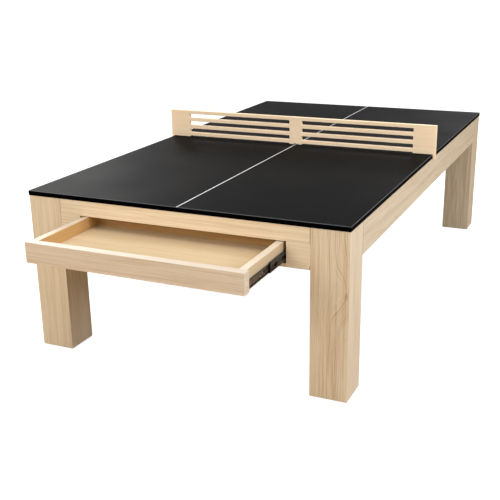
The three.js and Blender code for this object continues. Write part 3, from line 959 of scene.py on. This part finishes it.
def make_channel(part, side, sign, body):
    """One of the three bent channels of a runner."""
    sheet = RUNNER_SHEETS[part]
    node = f"runner_{part}_{side}"
    low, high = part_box(node)
    top = (high.z - low.z) / 2 / MM - sheet["thick"] / 2
    half = [(sheet["reach"], top), (sheet["web"], top)]
    if sheet["lip"]:
        half.insert(0, (sheet["reach"], top - sheet["lip"]))
    path = half + [(depth, -height) for depth, height in reversed(half)]
    bm = bmesh.new()
    bent_sheet(bm, path, sheet["bend"], sheet["thick"], (high.y - low.y) / MM,
               RUNNER_HOLES[part], runner_place(node, sign), SHEET_CORNER)
    plate = runner_steel(f"runner_steel_{part}", (high.z - low.z) / 2, *sheet["colours"])
    piece = new_piece(f"{node}_channel", bm, plate, body)
    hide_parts(node)


def make_cage(part, side, sign, cage_steel, ball_steel):
    """One ball cage of a runner: a bent strip with holes, and two rows of balls."""
    cage = CAGES[part]
    node = f"ball_cage_{part}_{side}"
    low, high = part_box(node)
    place = runner_place(node, sign)
    length = (high.y - low.y) / MM
    row = (high.z - low.z) / 2 / MM - cage["radius"]
    path = [(cage["reach"], row), (cage["web"], row), (cage["web"], -row), (cage["reach"], -row)]
    pitch = length / BALLS
    spots = [(index + 0.5) * pitch for index in range(BALLS)]
    hole = 2 * (cage["radius"] - BALL_GRIP)
    total = bend_path(path, CAGE_BEND)[-1][0]
    edge = total / 2 - (cage["reach"] - cage["depth"])
    holes = [(up * edge, along, hole, hole) for along in spots for up in (-1, 1)]
    holes += [(0, along, row * 0.9, pitch * 1.2) for along in spots[1::3]]
    bm = bmesh.new()
    bent_sheet(bm, path, CAGE_BEND, CAGE_SHEET, length, holes, place, SHEET_CORNER)
    piece = new_piece(f"{node}_strip", bm, cage_steel, node)
    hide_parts(node)
    bm = bmesh.new()
    for along in spots:
        for up in (-1, 1):
            ball = Matrix.Translation(place(cage["depth"], up * row, along))
            bmesh.ops.create_uvsphere(bm, u_segments=16, v_segments=10,
                                      radius=cage["radius"] * MM, matrix=ball)
    new_piece(f"{node}_balls", bm, ball_steel, node)


def make_lever(side, sign, black):
    """The release lever on the drawer member, with its pivot and the buffer at the front."""
    place = runner_place(f"runner_inner_{side}", sign)
    bm = bmesh.new()
    sweep(bm, [[place(depth, height + up * half, along) for depth, up in LEVER_SECTION]
               for along, height, half in LEVER_PATH])
    pad(bm, place, 9.0, LEVER_PATH[0][0], (2.1, 11.0, 11.0), 5.5)
    pad(bm, place, 9.4, 5, (1.7, 26.0, 6.0), STOP_CORNER)
    new_piece(f"runner_lever_{side}", bm, black, "drawer")


def make_stops(part, side, sign, body, black):
    """The moulded stops near the two ends of a runner member."""
    place = runner_place(f"runner_{part}_{side}", sign)
    bm = bmesh.new()
    for along, size in STOPS[part]:
        pad(bm, place, web_face(part, 1), along, size, STOP_CORNER)
    new_piece(f"runner_{part}_stops_{side}", bm, black, body)


def make_runner_screws(name, part, side, sign, hand, body, steel, screw):
    """Screws in the round screw holes of a member, driven from its `hand` face."""
    place = runner_place(f"runner_{part}_{side}", sign)
    bm = bmesh.new()
    for _, along, width, length in RUNNER_HOLES[part]:
        if width == length == SCREW_HOLE:
            stamp(bm, screw, place(web_face(part, hand), 0, along), (-hand * sign, 0, 0))
    new_piece(f"{name}_{side}", bm, steel, body)


def make_runners(steel, ball_steel, black, cage_steel, screw, flush_screw):
    """Each runner: three bent channels, two cages with their balls, and the moulded parts."""
    for side, sign in SIDES.items():
        bodies = {"outer": "table", "middle": f"runner_middle_{side}", "inner": "drawer"}
        for part, body in bodies.items():
            make_channel(part, side, sign, body)
        for part in CAGES:
            make_cage(part, side, sign, cage_steel, ball_steel)
        make_runner_screws("drawer_runner_screws", "inner", side, sign, -1, "drawer", steel, screw)
        make_lever(side, sign, black)
        for part in ("middle", "outer"):
            make_stops(part, side, sign, bodies[part], black)
        make_runner_screws("bearer_runner_screws", "outer", side, sign, 1, "table", steel,
                           flush_screw)


# ------------------------------------------------------------------ the scene

make_camera()
make_studio()
dress_wood()
dress("tabletop", black_top())
make_centre_line()

wool = felt()
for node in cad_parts:
    if node.startswith(("floor_pad", "net_felt")):
        dress(node, wool)
zinc_plate = zinc("zinc_plate", srgb(150, 150, 152), 0.30)
polished = zinc("polished_balls", srgb(190, 190, 192), 0.16)
wood_screw = pan_screw()
make_corner_joints(powder_coat(), zinc_plate, wood_screw, leg_bolt())
make_top_clips(zinc_plate, wood_screw)
blackened = zinc("blackened_cages", srgb(44, 46, 50), 0.40)
make_runners(zinc_plate, polished, plastic(), blackened, wood_screw, flat_screw())
